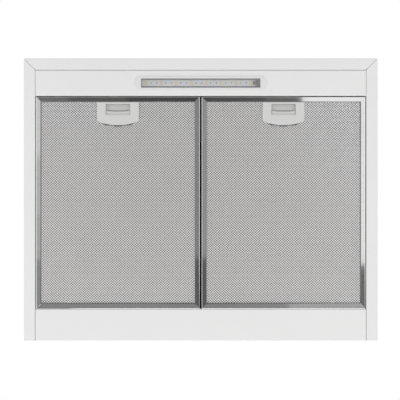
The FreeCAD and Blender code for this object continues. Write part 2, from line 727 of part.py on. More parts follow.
def flap(sign):
    """Half-moon flap; sign is -1 for the front one and 1 for the rear one."""
    low, high = 0.3, 1.6
    start = 3.4
    plate = disc(FLAP, 0, 0, low, high).common(block(-FLAP, FLAP, start, FLAP, low, high))
    knuckle_reach = 2.7
    for k in range(6):
        own = (k % 2 == 0) == (sign > 0)
        if not own:
            continue
        x0 = -51.0 + 17 * k + 0.4
        arm = block(x0, x0 + 16.2, 0, start + 1, low, high)
        barrel = Part.makeCylinder(knuckle_reach, 16.2, V(x0, 0, PIN_Z), X_AXIS)
        plate = plate.fuse(arm).fuse(barrel)
    plate = plate.cut(Part.makeCylinder(PIN + 0.08, 2 * FLAP, V(-FLAP, 0, PIN_Z), X_AXIS))
    rib = block(-32, 32, 26, 27.4, high - 0.1, high + 2)
    plate = plate.fuse(rib)
    if sign < 0:
        plate = plate.mirror(V(0, 0, 0), Y_AXIS)
    plate.translate(V(0, DUCT_Y, 0))
    return one(plate)


# ---- controls --------------------------------------------------------------------------
def button_places():
    first = PANEL_X - BUTTON_PITCH * (len(BUTTON_NAMES) - 1) / 2
    return [first + BUTTON_PITCH * i for i in range(len(BUTTON_NAMES))]


def control_bezel():
    face = upright(PANEL_X, PANEL_Z, *PANEL, FRONT - PANEL_OUT, FRONT, 4.0)
    face = softened(face, 0.6, lambda x, y, z: y < FRONT - PANEL_OUT + 1e-6)
    sleeve = upright(PANEL_X, PANEL_Z, PANEL[0] - 9, PANEL[1] - 7, FRONT, FRONT + 3.5, 2.0)
    body = face.fuse(sleeve)
    for x in button_places():
        body = body.cut(upright(x, PANEL_Z, BUTTON[0] + 0.6, BUTTON[1] + 0.6, FRONT - 5, FRONT + 5, 1.8))
    return one(body)


def button_mark(name, x):
    """What is sunk into a button's face: bars for a speed, a ring for off and a dimple for the lamp."""
    face = FRONT - BUTTON_OUT
    start = V(x, face - 1, PANEL_Z)
    if name == "button_off":
        outer = Part.makeCylinder(2.9, 1 + MARK_DEPTH, start, Y_AXIS)
        return outer.cut(Part.makeCylinder(1.9, 1 + MARK_DEPTH, start, Y_AXIS))
    if name == "button_light":
        return Part.makeCylinder(1.8, 1 + MARK_DEPTH, start, Y_AXIS)
    count = int(name[-1])
    places = [x + BAR_PITCH * (k - (count - 1) / 2) for k in range(count)]
    return Part.makeCompound([upright(place, PANEL_Z, *BAR, face - 1, face + MARK_DEPTH, 0.5) for place in places])


def button(name, x):
    body = upright(x, PANEL_Z, *BUTTON, FRONT - BUTTON_OUT, FRONT + 3, 1.5)
    body = softened(body, 0.8, lambda px, py, pz: py < FRONT - BUTTON_OUT + 1e-6)
    stem = block(x - 3, x + 3, FRONT + 3, FRONT + 5, PANEL_Z - 3, PANEL_Z + 3)
    return one(body.fuse(stem).cut(button_mark(name, x)))


def switch_block():
    """Switch bank behind the buttons, on two arms that reach the apron."""
    wide, high = SWITCH
    face, inner = FRONT + SWITCH_FACE, FRONT + SHEET
    low, top = PANEL_Z - high / 2, PANEL_Z + high / 2
    body = upright(PANEL_X, PANEL_Z, wide, high, face, FRONT + SWITCH_REAR, 1.5)
    for x in button_places():
        body = body.cut(block(x - 8, x + 8, face - 1, face + 0.6, PANEL_Z - 6, PANEL_Z + 6))
    for sign in (-1, 1):
        x = PANEL_X + sign * (wide / 2 + 1)
        body = body.fuse(block(x - 1.5, x + 1.5, inner, face + 12, low, top))
        foot = x + sign * 8
        body = body.fuse(block(min(x, foot), max(x, foot), inner, inner + 2, low, top))
    return one(body)


# ---- electrics -------------------------------------------------------------------------
def terminal_box():
    x, y, wide, deep, high = TERMINAL
    top = -SHEET
    body = block(x, x + wide, y, y + deep, top - high, top)
    body = softened(body, 4.0, lambda px, py, pz: abs(pz - top + high / 2) < 1e-6)
    hollow = block(x + 2, x + wide - 2, y + 2, y + deep - 2, top - high - 1, top - 2)
    body = body.cut(softened(hollow, 2.0, lambda px, py, pz: abs(pz - (2 * top - high - 3) / 2) < 1e-6))
    rows = block(x + 20, x + wide - 20, y + 14, y + 32, top - 16, top - 2)
    for k in range(5):
        at = x + 24 + 9 * k
        rows = rows.cut(Part.makeCylinder(2.2, 8, V(at + 3, y + 23, top - 17), Z_AXIS))
    body = body.fuse(rows)
    return one(body.cut(disc(7.0, *GLAND, top - 5, top + 1)))


def terminal_cover():
    x, y, wide, deep, high = TERMINAL
    top = -SHEET - high
    lid = prism(rectangle(x, x + wide, y, y + deep), 4.0, "z", top - 2.4, top)
    lid = softened(lid, 1.0, lambda px, py, pz: abs(pz - top + 2.4) < 1e-6)
    return one(lid)


def cable_gland():
    """Bushing that guides the supply lead through the top into the terminal box."""
    body = disc(6.9, *GLAND, -SHEET - 6, 0).fuse(disc(10.0, *GLAND, 0, 2.5))
    body = softened(body.removeSplitter(), 1.0, lambda x, y, z: z > 2.5 - 1e-6)
    return one(body.cut(disc(GLAND_BORE, *GLAND, -10, 10)))


def capacitor():
    """Run capacitor lying in its clip under the top."""
    x, y, z, radius = 96.0, -120.0, -20.0, 15.0
    can = Part.makeCylinder(radius, 56, V(x, y, z), Y_AXIS)
    can = can.makeFillet(2.0, [e for e in can.Edges if abs(e.CenterOfMass.y - y) < 1e-6])
    clip = Part.makeCylinder(radius + 1.2, 12, V(x, y + 20, z), Y_AXIS)
    clip = clip.fuse(block(x - 9, x + 9, y + 20, y + 32, z + radius, -SHEET))
    clip = clip.cut(Part.makeCylinder(radius, 14, V(x, y + 19, z), Y_AXIS))
    return Part.makeCompound([can, one(clip)])


def led_driver():
    x0, y0 = DRIVER
    body = prism(rectangle(x0, x0 + 80, y0, y0 + 36), 3.0, "z", -24, -SHEET)
    body = softened(body, 1.5, lambda x, y, z: z < -24 + 1e-6)
    ears = prism(rectangle(x0 - 10, x0 + 90, y0 + 12, y0 + 24), 3.0, "z", -3, -SHEET)
    return one(body.fuse(ears))


def motor_cable():
    """Lead from the motor, out through the roof and across to the terminal box."""
    x, y = HUB[0] + 20, HUB[1]
    points = [
        (x, y, SCROLL_TOP - SHELL),
        (x, y, SCROLL_TOP + 16),
        (x + 25, y + 4, SCROLL_TOP + 18),
        (0, -60, -13),
        (40, -44, -14),
        (80, -24, -15),
        (112, -2, -17),
        (TERMINAL[0] + 14, TERMINAL[1] - 20, -20),
        (TERMINAL[0] + 14, TERMINAL[1], -20),
    ]
    return cable(points, 3.0)


def lamp_cable():
    """Lead from the lamp up to its driver, under the sloping top."""
    points = [
        (92, LAMP_Y, HOUSING_TOP),
        (92, LAMP_Y, HOUSING_TOP + 22),
        (95, -262, -72),
        (102, -226, -52),
        (116, -188, -36),
        (134, -148, -24),
        (148, -108, -16),
        (150, DRIVER[1] - 20, -14),
        (150, DRIVER[1], -14),
    ]
    return cable(points, 2.0)


def switch_cable():
    """Lead from the switches up the right side to the terminal box."""
    points = [
        (PANEL_X, FRONT + SWITCH_REAR, PANEL_Z),
        (PANEL_X, FRONT + SWITCH_REAR + 22, PANEL_Z),
        (196, -246, -86),
        (208, -206, -64),
        (218, -164, -44),
        (221, -118, -30),
        (219, -70, -24),
        (216, -22, -21),
        (200, 14, -20),
        (190, TERMINAL[1] - 18, -20),
        (190, TERMINAL[1], -20),
    ]
    return cable(points, 2.4)


def fixing_screws():
    """All screws: scroll rim, motor, collar, lamp, terminal cover, lamp driver and switches."""
    made = [screw(x, y, SCROLL_SPLIT - SHELL, (0, 0, -1), 2.4, 1.3, 5.0) for x, y in rim_places()]
    made += [screw(x, y, SCROLL_TOP, (0, 0, 1), length=10.0) for x, y in motor_mounts()]
    for k in range(4):
        angle = math.radians(90 * k + 45)
        x, y = 65.7 * math.cos(angle), DUCT_Y + 65.7 * math.sin(angle)
        made.append(screw(x, y, COLLAR_FLANGE, (0, 0, 1), length=COLLAR_FLANGE + 1.8))
    for sign in (-1, 1):
        made.append(screw(sign * (WINDOW[0] / 2 + 11.5), LAMP_Y, BOTTOM + 12, (0, 0, 1), length=6.0))
        foot = PANEL_X + sign * (SWITCH[0] / 2 + 5.5)
        made.append(screw(foot, FRONT + SHEET + 2, PANEL_Z, (0, 1, 0), 2.4, 1.3, 2.7))
        ear = DRIVER[0] + 40 + sign * 45
        made.append(screw(ear, DRIVER[1] + 18, -SHEET - 2.2, (0, 0, -1), length=2.9))
    x, y, wide, deep, high = TERMINAL
    for px, py in ((x + 8, y + 8), (x + wide - 8, y + deep - 8)):
        made.append(screw(px, py, -SHEET - high - 2.4, (0, 0, -1), length=10.0))
    return Part.makeCompound(made)


# ---- grease filters, built in a frame with y from the front edge and z from the underside ----
def rail(length, width):
    """A channel rail along X whose outer face is at y = 0."""
    path = [(RAIL_BACK, FILTER_HEIGHT), (0, FILTER_HEIGHT), (0, 0), (width, 0), (width, CURL)]
    return folded(path, "x", -length / 2, length / 2, thick=FOIL, bend=FOIL_BEND)


def filter_frame():
    """Four mitred channel rails of bright aluminium."""
    half, length = FILTER_WIDTH / 2, FILTER_LENGTH
    gap = 0.05
    slope_front, slope_rear = RAIL_FRONT / RAIL_SIDE, RAIL_REAR / RAIL_SIDE
    inner, far = half - gap, length + 1

    def zone(points):
        return prism(points, 0, "z", -1, FILTER_HEIGHT + 1)

    front_tip = (0, half * slope_front - gap)
    front_zone = zone([(-inner, 0), (-inner, -1), (inner, -1), (inner, 0), front_tip])
    rear_tip = (0, length - half * slope_rear + gap)
    rear_zone = zone([(inner, length), (inner, far), (-inner, far), (-inner, length), rear_tip])
    tips = [(half / 2, length - half / 2 * slope_rear), (half / 2, half / 2 * slope_front)]
    side_zone = zone([(half, 0), (half + 1, 0), (half + 1, length), (half, length)] + tips)

    front = rail(2 * half, RAIL_FRONT).common(front_zone)
    rear = rail(2 * half, RAIL_REAR).mirror(V(0, 0, 0), Y_AXIS)
    rear.translate(V(0, length, 0))
    rear = rear.common(rear_zone)
    right = rail(length, RAIL_SIDE)
    right.rotate(V(0, 0, 0), Z_AXIS, 90)
    right.translate(V(half, length / 2, 0))
    right = right.common(side_zone)
    left = mirrored(right)

    slot = block(-TONGUE_X - 0.6, TONGUE_X + 0.6, -1, 2, TONGUE_Z[0] - 0.4, TONGUE_Z[1] + 0.4)
    front = front.cut(slot)
    for x in (-TAB_X, TAB_X):
        rear = rear.cut(block(x - TAB_WIDTH / 2, x + TAB_WIDTH / 2, length - 3, length + 1, *TAB_Z))
    return Part.makeCompound([one(s) for s in (front, rear, right, left)])


def mesh_layer(low, high, latch_room=True, tab_room=False):
    """One sheet of expanded foil, kept plain, inside the channel of the frame."""
    margin = FOIL + FOIL_BEND
    half = FILTER_WIDTH / 2 - margin
    layer = block(-half, half, margin, FILTER_LENGTH - margin, low, high)
    if latch_room:
        room_end = SPRING_END + WALL + 1.0
        layer = layer.cut(bowed(WINDOW_X + 3.6, room_end - 2.8, room_end, 0, low - 1, high + 1))
    if tab_room:
        for x in (-TAB_X, TAB_X):
            reach = TAB_WIDTH / 2 + 1
            layer = layer.cut(block(x - reach, x + reach, FILTER_LENGTH - 12, FILTER_LENGTH, low, high))
    return one(layer)


def mesh_core():
    """The sheets between the two faces, evenly spread."""
    step = (CORE_Z[1] - CORE_Z[0] - CORE_FOIL) / (CORE_LAYERS - 1)
    lows = [CORE_Z[0] + step * k for k in range(CORE_LAYERS)]
    return Part.makeCompound([mesh_layer(low, low + CORE_FOIL, tab_room=True) for low in lows])


def upright_edges(shape, behind):
    """Edges parallel to Z that lie past the given y."""
    upright = [e for e in shape.Edges if abs(e.tangentAt(e.FirstParameter).z) > 0.99]
    return [e for e in upright if e.CenterOfMass.y > behind]


def bowed(half, y, crown, back, z0, z1):
    """A plate with straight sides and one arched edge at y, whose crown is at the given y."""
    arc = Part.Arc(V(half, y, z0), V(0, crown, z0), V(-half, y, z0)).toShape()
    corners = [V(-half, y, z0), V(-half, back, z0), V(half, back, z0), V(half, y, z0)]
    sides = [Part.LineSegment(a, b).toShape() for a, b in zip(corners, corners[1:])]
    return Part.Face(Part.Wire([arc] + sides)).extrude(V(0, 0, z1 - z0))


def latch_base():
    """Handle plate with its curved end, the finger pocket, and the seat of the spring."""
    low, top = HANDLE_Z
    start, core_top = RAIL_FRONT + 0.3, CORE_Z[1]
    plate = bowed(HANDLE_WIDTH / 2, HANDLE_SIDE, HANDLE_END, start, low, top)
    plate = plate.makeFillet(1.6, upright_edges(plate, start + 1))
    plate = softened(plate, 0.5, lambda x, y, z: abs(z - low) < 1e-6)
    outer_x = WINDOW_X + 2.8
    body_front = start + 0.9
    body_end = SPRING_END + WALL + 0.8
    body = bowed(outer_x, body_end - 2.9, body_end, body_front, top - 0.2, core_top - 0.2)
    body = body.cut(bowed(WINDOW_X, SPRING_END - 1.1, SPRING_END, WINDOW_Y[0], top - 0.1, core_top))
    slot = TONGUE_X + 0.5
    body = body.cut(block(-slot, slot, body_front - 1, WINDOW_Y[0] + 1, POCKET_Z, core_top))
    roof = block(-WINDOW_X, WINDOW_X, WINDOW_Y[0], GRIP_Y - 0.4, POCKET_Z - 0.8, POCKET_Z)
    window = prism(rectangle(-WINDOW_X, WINDOW_X, *WINDOW_Y), 1.2, "z", low - 1, top + 0.1)
    made = one(plate.fuse(body).fuse(roof).cut(window))

    def window_rim(x, y, z):
        return abs(z - low) < 1e-6 and WINDOW_Y[0] - 1 < y < WINDOW_Y[1] + 1 and abs(x) < WINDOW_X + 1

    return one(softened(made, 0.35, window_rim))


def latch_slide():
    """Sliding catch: finger grip, cover plate behind it and the tongue over the pocket."""
    half = WINDOW_X - 0.5
    low, top = HANDLE_Z[1] + 0.1, TONGUE_Z[1]
    grip = bowed(half, GRIP_Y, GRIP_Y + GRIP_DIP, GRIP_BACK, low, top)
    cover = block(-half, half, GRIP_BACK - 0.5, 38.5, low, low + 1.8)
    tongue = block(-TONGUE_X, TONGUE_X, -TONGUE_OUT, GRIP_BACK, *TONGUE_Z)
    lead = edges_at(tongue, lambda x, y, z: y < -TONGUE_OUT + 1e-6 and abs(z - TONGUE_Z[0]) < 1e-6)
    tongue = tongue.makeChamfer(0.7, lead)
    return one(grip.fuse([cover, tongue]))


def latch_spring():
    """Coil spring that pushes the catch forwards."""
    wire, radius = 0.3, 1.7
    start, end = GRIP_BACK + wire, SPRING_END - wire
    helix = Part.makeHelix((end - start) / 8, end - start, radius)
    section = Part.makeCircle(wire, V(radius, 0, 0), Y_AXIS)
    coil = Part.Wire(helix.Edges).makePipeShell([Part.Wire([section])], True, True)
    coil.rotate(V(0, 0, 0), X_AXIS, -90)
    coil.translate(V(0, start, 5.3))
    return coil


def rear_tabs():
    length = FILTER_LENGTH
    made = []
    for x in (-TAB_X, TAB_X):
        half = TAB_WIDTH / 2 - 0.05
        tab = block(x - half, x + half, length - 10, length + TAB_OUT, TAB_Z[0] + 0.02, TAB_Z[1] - 0.02)
        made.append(tab.makeFillet(3.0, upright_edges(tab, length)))
    return Part.makeCompound(made)


def filter_pieces():
    return {
        "filter_frame": filter_frame(),
        "mesh_face": mesh_layer(*FACE_Z),
        "mesh_core": mesh_core(),
        "mesh_back": mesh_layer(*BACK_Z, latch_room=False),
        "latch_base": latch_base(),
        "latch_slide": latch_slide(),
        "latch_spring": latch_spring(),
        "rear_tabs": rear_tabs(),
    }


# ---- assembly --------------------------------------------------------------------------
def canopy_pieces():
    right_side, right_rail = side_panel(), mounting_rail()
    return {
        "top_front_panel": top_front_panel(),
        "side_panel_right": right_side,
        "side_panel_left": mirrored(right_side),
        "back_panel": back_panel(),
        "front_inner_panel": front_inner_panel(),
        "mounting_rail_right": right_rail,
        "mounting_rail_left": mirrored(right_rail),
    }


def lamp_pieces():
    return {
        "lamp_bezel": lamp_bezel(),
        "lamp_lens": lamp_lens(),
        "lamp_housing": lamp_housing(),
        "lamp_board": lamp_board(),
        "lamp_leds": lamp_leds(),
        "lamp_resistors": lamp_resistors(),
    }


def blower_pieces():
    return {
        "blower_base": blower_base(),
        "blower_cover": blower_cover(),
        "inlet_guard": inlet_guard(),
        "motor": motor(),
        "motor_grommets": motor_grommets(),
        "motor_shaft": motor_shaft(),
        "impeller_hub": impeller_hub(),
        "impeller_blades": impeller_blades(),
        "impeller_ring": impeller_ring(),
        "outlet_collar": outlet_collar(),
        "flap_pin": flap_pin(),
        "flap_front": flap(-1),
        "flap_rear": flap(1),
    }


def control_pieces():
    pieces = {"control_bezel": control_bezel(), "switch_block": switch_block()}
    for name, x in zip(BUTTON_NAMES, button_places()):
        pieces[name] = button(name, x)
    return pieces


def electric_pieces():
    return {
        "terminal_box": terminal_box(),
        "terminal_cover": terminal_cover(),
        "cable_gland": cable_gland(),
        "capacitor": capacitor(),
        "led_driver": led_driver(),
        "motor_cable": motor_cable(),
        "lamp_cable": lamp_cable(),
        "switch_cable": switch_cable(),
    }


SCREWED = (
    "top_front_panel",
    "outlet_collar",
    "blower_base",
    "blower_cover",
    "motor",
    "motor_grommets",
    "lamp_bezel",
    "lamp_housing",
    "terminal_box",
    "terminal_cover",
    "led_driver",
    "switch_block",
)


def drilled(shape, screws):
    """The shape with the threads' holes, keeping its solids separate."""
    solids = [one(s.cut(screws)) for s in shape.Solids]
    return solids[0] if len(solids) == 1 else Part.makeCompound(solids)


def main():
    os.makedirs("parts", exist_ok=True)
    pieces = {}
    for group in (canopy_pieces, lamp_pieces, blower_pieces, control_pieces, electric_pieces):
        pieces.update(group())
    screws = fixing_screws()
    pieces["fixing_screws"] = screws
    for name in SCREWED:
        pieces[name] = drilled(pieces[name], screws)
    for name, shape in filter_pieces().items():
        for side, sign in SIDES.items():
            copy = shape.copy()
            copy.translate(V(sign * FILTER_X, FILTER_FRONT, BOTTOM))
            pieces[f"{name}_{side}"] = copy
    for name, shape in pieces.items():
        if not shape.isValid() or not shape.Solids:
            print(f"{name} is not a valid solid")
        shape.exportStep(f"parts/{name}.step")
    print(f"{len(pieces)} sub-parts written")


main()
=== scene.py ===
import bmesh
import bpy
import json
import math
from mathutils import Matrix, Vector


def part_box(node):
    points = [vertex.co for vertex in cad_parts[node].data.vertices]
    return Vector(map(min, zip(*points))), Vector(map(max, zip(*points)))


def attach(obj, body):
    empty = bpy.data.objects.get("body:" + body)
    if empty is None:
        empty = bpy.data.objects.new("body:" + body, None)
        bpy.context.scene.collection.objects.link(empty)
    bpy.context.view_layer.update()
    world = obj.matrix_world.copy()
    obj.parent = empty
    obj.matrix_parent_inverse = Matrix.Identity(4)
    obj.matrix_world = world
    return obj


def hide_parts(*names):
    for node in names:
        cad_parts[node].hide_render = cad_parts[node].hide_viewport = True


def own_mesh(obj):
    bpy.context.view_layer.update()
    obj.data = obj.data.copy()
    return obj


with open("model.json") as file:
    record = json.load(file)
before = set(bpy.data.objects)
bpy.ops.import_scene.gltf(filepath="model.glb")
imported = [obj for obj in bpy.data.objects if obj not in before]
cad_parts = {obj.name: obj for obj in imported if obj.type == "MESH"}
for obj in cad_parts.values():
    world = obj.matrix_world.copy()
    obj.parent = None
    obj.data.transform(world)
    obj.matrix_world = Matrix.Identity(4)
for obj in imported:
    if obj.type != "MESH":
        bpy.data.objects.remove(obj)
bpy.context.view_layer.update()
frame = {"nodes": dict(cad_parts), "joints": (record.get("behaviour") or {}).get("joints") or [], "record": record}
print("frame loaded:", len(frame["nodes"]), "nodes")

millimetre = 0.001
sides = ("left", "right")
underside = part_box("filter_frame_left")[0].z


# ---------- view and light
view = {
    "distance": 1.5,
    "sensor": 36.0,
    "span": 0.6753,  # width seen at the underside
    "shiftX": -0.0012,
    "centreY": -0.0877,
    "clipEnd": 50,
}


def addCamera():
    data = bpy.data.cameras.new("underView")
    data.sensor_width = view["sensor"]
    data.lens = view["sensor"] * view["distance"] / view["span"]
    data.clip_end = view["clipEnd"]
    camera = bpy.data.objects.new("underView", data)
    camera.location = (view["shiftX"], view["centreY"], underside - view["distance"])
    camera.rotation_euler = (math.pi, 0, 0)  # looks straight up, with the hood's front at the top
    bpy.context.scene.collection.objects.link(camera)
    bpy.context.scene.camera = camera
    bpy.context.scene.view_settings.view_transform = "Standard"


studio = {
    "zenith": 1.0,
    "horizon": 0.62,
    "greyBelow": 0.2,  # height of the view at which the sky starts to brighten
    "whiteAbove": 0.9,
    "floorDrop": 3.2,
    "floorSize": 90,
    "floorLight": (0.72, 0.72, 0.72),
    "floorDark": (0.68, 0.68, 0.68),
    "floorBlotch": 1.5,
    "floorRough": 0.9,
    "boxSize": 1.3,
    "boxes": {  # place and power of each softbox
        "softboxLeft": ((-1.7, -0.3, -1.5), 9),
        "softboxRight": ((1.7, -0.4, -1.5), 8.4),
        "softboxRear": ((0.1, 2.0, -1.35), 17),
        "keyAbove": ((-2.6, 0.7, 2.3), 15),
    },
}


def addSky():
    # white overhead, a little greyer towards the horizon
    world = bpy.data.worlds.new("studioSky")
    bpy.context.scene.world = world
    world.use_nodes = True
    tree = world.node_tree
    where = tree.nodes.new("ShaderNodeTexCoord")
    split = tree.nodes.new("ShaderNodeSeparateXYZ")
    ramp = tree.nodes.new("ShaderNodeMapRange")
    ramp.inputs["From Min"].default_value = studio["greyBelow"]
    ramp.inputs["From Max"].default_value = studio["whiteAbove"]
    ramp.inputs["To Min"].default_value = studio["horizon"]
    ramp.inputs["To Max"].default_value = studio["zenith"]
    tree.links.new(where.outputs["Generated"], split.inputs[0])
    tree.links.new(split.outputs["Z"], ramp.inputs["Value"])
    tree.links.new(ramp.outputs["Result"], tree.nodes["Background"].inputs["Strength"])
    tree.nodes["Background"].inputs["Color"].default_value = (1, 1, 1, 1)


def addFloor():
    bm = bmesh.new()
    place = Matrix.Translation((0, 0, underside - studio["floorDrop"]))
    bmesh.ops.create_grid(bm, x_segments=1, y_segments=1, size=studio["floorSize"] / 2, matrix=place)
    floor = makePiece("studioFloor", bm)
    paint = Finish("floorPaint")
    blotches = paint.noise(studio["floorBlotch"])
    floor.data.materials.append(paint.shade({
        "Base Color": paint.blendColors(blotches, studio["floorLight"], studio["floorDark"]),
        "Roughness": studio["floorRough"],
    }))


# what bright metal mirrors: flat cards below the hood, each with its lowest and highest x and y and its tone
cards = {
    "frontCardA": ((-1.0, -0.70), (-0.45, -0.405), 0.15),
    "frontCardB": ((-0.45, -0.70), (-0.25, -0.405), 0.095),
    "frontCardC": ((-0.25, -0.70), (0.03, -0.405), 0.06),
    "frontCardD": ((0.03, -0.70), (0.22, -0.405), 0.08),
    "frontCardE": ((0.22, -0.70), (0.345, -0.405), 0.13),
    "cornerCard": ((0.345, -0.80), (0.85, -0.405), 0.93),
    "leftCardA": ((-0.85, -0.405), (-0.42, -0.22), 0.65),
    "leftCardB": ((-0.85, -0.22), (-0.42, -0.04), 0.50),
    "leftCardC": ((-0.85, -0.04), (-0.42, 0.095), 0.43),
    "leftCardD": ((-0.85, 0.095), (-0.42, 0.252), 0.28),
    "meshCardLeft": ((-0.42, -0.405), (-0.11, 0.252), 0.42),
    "centreCardLeft": ((-0.11, -0.405), (0, 0.09), 0.24),
    "centreCardRight": ((0, -0.405), (0.11, 0.09), 0.31),
    "centreCardRear": ((-0.11, 0.09), (0.11, 0.252), 0.11),
    "meshCardRight": ((0.11, -0.405), (0.42, 0.252), 0.42),
    "rightCardA": ((0.42, -0.405), (0.85, 0.11), 0.86),
    "rightCardB": ((0.42, 0.11), (0.85, 0.252), 0.155),
    "rearCardLeft": ((-0.85, 0.252), (0.30, 0.52), 0.25),
    "rearCardRight": ((0.30, 0.252), (0.85, 0.52), 0.40),
    "aheadCard": ((-1.8, -1.90), (1.8, -0.82), 0.40),
}
backCard = {"y": -2.4, "low": -1.75, "high": 0.3, "half": 2.8, "tone": 0.40}
cardDrop = 1.52  # from the underside to the cards


def addCard(name, corners, tone):
    bm = bmesh.new()
    bm.faces.new([bm.verts.new(corner) for corner in corners])
    card = makePiece(name, bm)
    paint = Finish(name)
    card.data.materials.append(paint.shade({
        "Base Color": (0, 0, 0),
        "Specular IOR Level": 0,
        "Emission Color": (1, 1, 1),
        "Emission Strength": tone,
    }))
    card.visible_camera = False
    card.visible_diffuse = False
    card.visible_shadow = False
    card.visible_transmission = False


def addCards():
    level = underside - cardDrop
    for name, ((x0, y0), (x1, y1), tone) in cards.items():
        addCard(name, [(x0, y0, level), (x1, y0, level), (x1, y1, level), (x0, y1, level)], tone)
    y, half = backCard["y"], backCard["half"]
    low, high = backCard["low"], backCard["high"]
    upright = [(-half, y, low), (half, y, low), (half, y, high), (-half, y, high)]
    addCard("backCard", upright, backCard["tone"])


def addSoftboxes():
    for name, (place, power) in studio["boxes"].items():
        data = bpy.data.lights.new(name, "AREA")
        data.shape = "SQUARE"
        data.size = studio["boxSize"]
        data.energy = power
        lamp = bpy.data.objects.new(name, data)
        lamp.location = place
        aim = Vector((0, view["centreY"], underside)) - Vector(place)
        lamp.rotation_euler = aim.to_track_quat("-Z", "Y").to_euler()
        lamp.visible_camera = False
        bpy.context.scene.collection.objects.link(lamp)


# ---------- shader helpers
class Wire:
    # one socket, so that shader sums read like sums
    def __init__(self, finish, socket):
        self.finish = finish
        self.socket = socket

    def calc(self, operation, other, flipped=False):
        pair = (other, self) if flipped else (self, other)
        return self.finish.node("Math", {"operation": operation}, {0: pair[0], 1: pair[1]})

    def __add__(self, other):
        return self.calc("ADD", other)

    def __sub__(self, other):
        return self.calc("SUBTRACT", other)

    def __rsub__(self, other):
        return self.calc("SUBTRACT", other, True)

    def __mul__(self, other):
        return self.calc("MULTIPLY", other)

    def __truediv__(self, other):
        return self.calc("DIVIDE", other)

    def __rtruediv__(self, other):
        return self.calc("DIVIDE", other, True)

    __radd__ = __add__
    __rmul__ = __mul__


class Finish:
    # a material while it is being made
    def __init__(self, name):
        self.material = bpy.data.materials.new(name)
        self.material.use_nodes = True
        self.tree = self.material.node_tree
        self.shader = self.tree.nodes["Principled BSDF"]

    def put(self, socket, value):
        if isinstance(value, Wire):
            self.tree.links.new(value.socket, socket)
        elif hasattr(socket.default_value, "__len__") and len(value) == 3 and socket.type == "RGBA":
            socket.default_value = (*value, 1)
        else:
            socket.default_value = value

    def node(self, kind, settings=None, inputs=None, output=0):
        made = self.tree.nodes.new("ShaderNode" + kind)
        for key, value in (settings or {}).items():
            setattr(made, key, value)
        for key, value in (inputs or {}).items():
            self.put(made.inputs[key], value)
        return Wire(self, made.outputs[output])

    def split(self, vector):
        parts = self.node("SeparateXYZ", {}, {"Vector": vector})
        return [Wire(self, socket) for socket in parts.socket.node.outputs]

    def place(self, stretch=(1, 1, 1)):
        where = self.node("TexCoord", output="Object")
        return self.node("Mapping", {}, {"Vector": where, "Scale": stretch})

    def noise(self, scale, detail=2.0, stretch=(1, 1, 1), rough=0.5):
        values = {"Vector": self.place(stretch), "Scale": scale, "Detail": detail, "Roughness": rough}
        return self.node("TexNoise", {}, values)

    def blendColors(self, factor, first, second):
        # sockets 6 and 7 are the colours of a colour mix, and output 2 its result
        return self.node("Mix", {"data_type": "RGBA"}, {0: factor, 6: first, 7: second}, 2)

    def bump(self, height, distance, strength=1.0):
        return self.node("Bump", {}, {"Height": height, "Distance": distance, "Strength": strength})

    def shade(self, values):
        for name, value in values.items():
            self.put(self.shader.inputs[name], value)
        return self.material


# ---------- finishes
enamel = {
    "light": (0.83, 0.83, 0.828),
    "dark": (0.79, 0.79, 0.788),
    "patchScale": 6.0,
    "rough": 0.34,
    "patchRough": 0.08,
    "gloss": 0.45,
    "peelScale": 700,
    "peelDepth": 0.00006,
    "peelStrength": 0.35,
}


def whiteEnamel():
    coat = Finish("whiteEnamel")
    patches = coat.noise(enamel["patchScale"], 3.0)
    peel = coat.noise(enamel["peelScale"], 1.0)
    return coat.shade({
        "Base Color": coat.blendColors(patches, enamel["light"], enamel["dark"]),
        "Roughness": patches * enamel["patchRough"] + enamel["rough"],
        "Specular IOR Level": enamel["gloss"],
        "Normal": coat.bump(peel, enamel["peelDepth"], enamel["peelStrength"]),
    })


rolled = {
    "light": (0.90, 0.90, 0.90),
    "dark": (0.80, 0.80, 0.80),
    "shadow": (0.04, 0.04, 0.04),  # on the inner edges, which face the mesh
    "inset": 7.35 * millimetre,  # from the outside of a filter to the bend of its inner edge
    "lift": 0.05 * millimetre,  # height above the underside at which the shadow begins
    "along": (0.02, 1, 1),  # stretches the streaks along the rails
    "streakScale": 260,
    "streakRough": 0.02,
    "streakDepth": 0.000001,
    "smearScale": 14.0,
    "smearRough": 0.03,
    "rough": 0.03,
    "bow": 0.035,  # how much the side rails are bowed along their length
}


def rolledAluminium():
    metal = Finish("rolledAluminium")
    x, y, z = metal.split(metal.place())
    low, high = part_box("filter_frame_right")
    across = x.calc("ABSOLUTE", 0)  # the filters mirror each other
    fromSide = (across - low.x).calc("MINIMUM", high.x - across)
    fromEnd = (y - low.y).calc("MINIMUM", high.y - y)
    inner = fromSide.calc("MINIMUM", fromEnd).calc("GREATER_THAN", rolled["inset"])
    shadow = inner * z.calc("GREATER_THAN", low.z + rolled["lift"])
    half = (high.y - low.y) / 2
    along = y - (low.y + half)
    onSideRail = fromEnd.calc("GREATER_THAN", fromSide)
    bow = (along * along - half ** 2) * rolled["bow"] * onSideRail
    streaks = metal.noise(rolled["streakScale"], 3.0, rolled["along"])
    smears = metal.noise(rolled["smearScale"], 3.0)
    clean = metal.blendColors(streaks, rolled["dark"], rolled["light"])
    dull = smears * rolled["smearRough"] + streaks * rolled["streakRough"]
    return metal.shade({
        "Base Color": metal.blendColors(shadow, clean, rolled["shadow"]),
        "Metallic": 1.0,
        "Roughness": dull + rolled["rough"],
        "Normal": metal.bump(streaks * rolled["streakDepth"] + bow, 1.0),  # both heights are in metres
    })


foil = {
    "light": (1.0, 1.0, 1.0),
    "dark": (0.94, 0.94, 0.94),
    "patchScale": 22.0,
    "grainScale": 900.0,
    "rough": 0.44,
    "grainRough": 0.15,
    "grainDepth": 0.00003,
    "grainStrength": 0.4,
}


